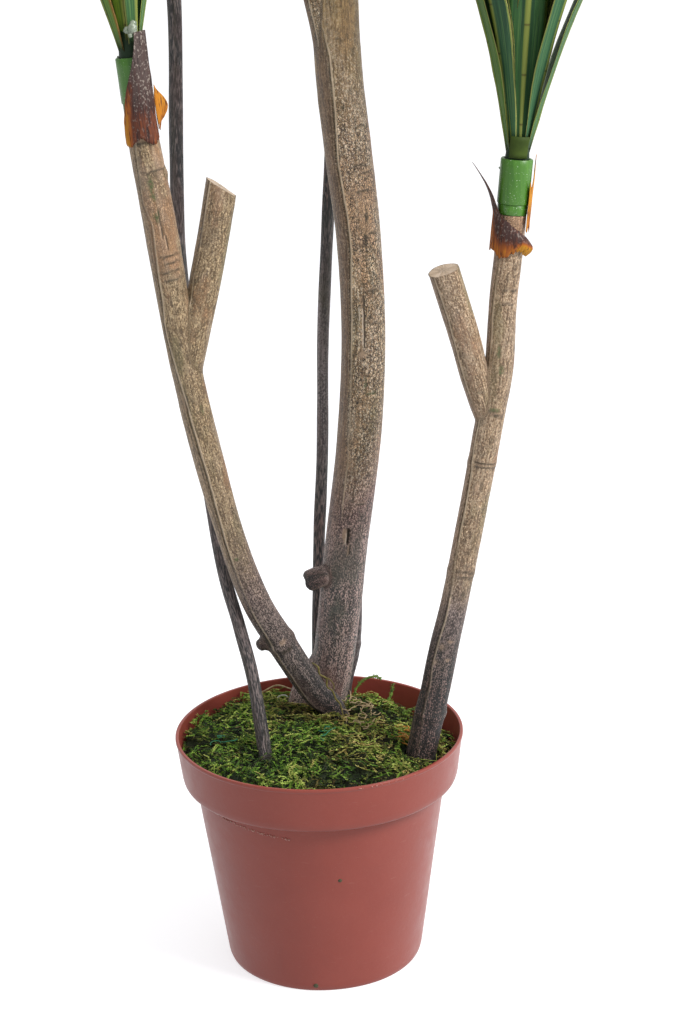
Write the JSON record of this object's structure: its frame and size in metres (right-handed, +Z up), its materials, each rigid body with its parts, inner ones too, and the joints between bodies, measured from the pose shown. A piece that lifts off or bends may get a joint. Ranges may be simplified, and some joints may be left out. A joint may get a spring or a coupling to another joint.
{
  "type": "potted artificial yucca",
  "caption": "Tall artificial yucca with wooden poles, thin stems and heads of sword-shaped leaves, standing in a moss-topped round plastic nursery pot.",
  "frame": {"origin": "centre of the pot's flat base, on the surface that it stands on", "axes": "+Z up along the pot's axis, -Y towards the side that the picture shows, +X to that view's right"},
  "size_m": [0.7443, 0.5648, 1.4709],
  "materials": {
    "pot": "satin",
    "filler": "matte",
    "moss": "matte",
    "pole": "matte",
    "stem": "matte",
    "sleeve": "satin",
    "leaf": "satin",
    "husk": "matte"
  },
  "bodies": {
    "root": {"pot": "pot", "filler": "filler", "moss": "moss", "pole_left": "pole", "pole_right": "pole", "pole_centre": "pole", "pole_stem_left": "stem", "pole_stem_middle": "stem", "pole_stem_back": "stem", "sleeve_left": "sleeve", "sleeve_right": "sleeve", "sleeve_centre": "sleeve", "sleeve_stem_left": "sleeve", "sleeve_stem_middle": "sleeve", "sleeve_stem_back": "sleeve", "leaves_left": "leaf", "leaves_right": "leaf", "leaves_centre": "leaf", "leaves_stem_left": "leaf", "leaves_stem_middle": "leaf", "leaves_stem_back": "leaf", "husk_left_a": "husk", "husk_left_b": "husk", "husk_right_a": "husk", "husk_right_b": "husk", "husk_centre_a": "husk", "husk_centre_b": "husk", "husk_stem_left_a": "husk", "husk_stem_left_b": "husk", "husk_stem_middle_a": "husk", "husk_stem_middle_b": "husk", "husk_stem_back_a": "husk", "husk_stem_back_b": "husk"}
  },
  "joints": []
}
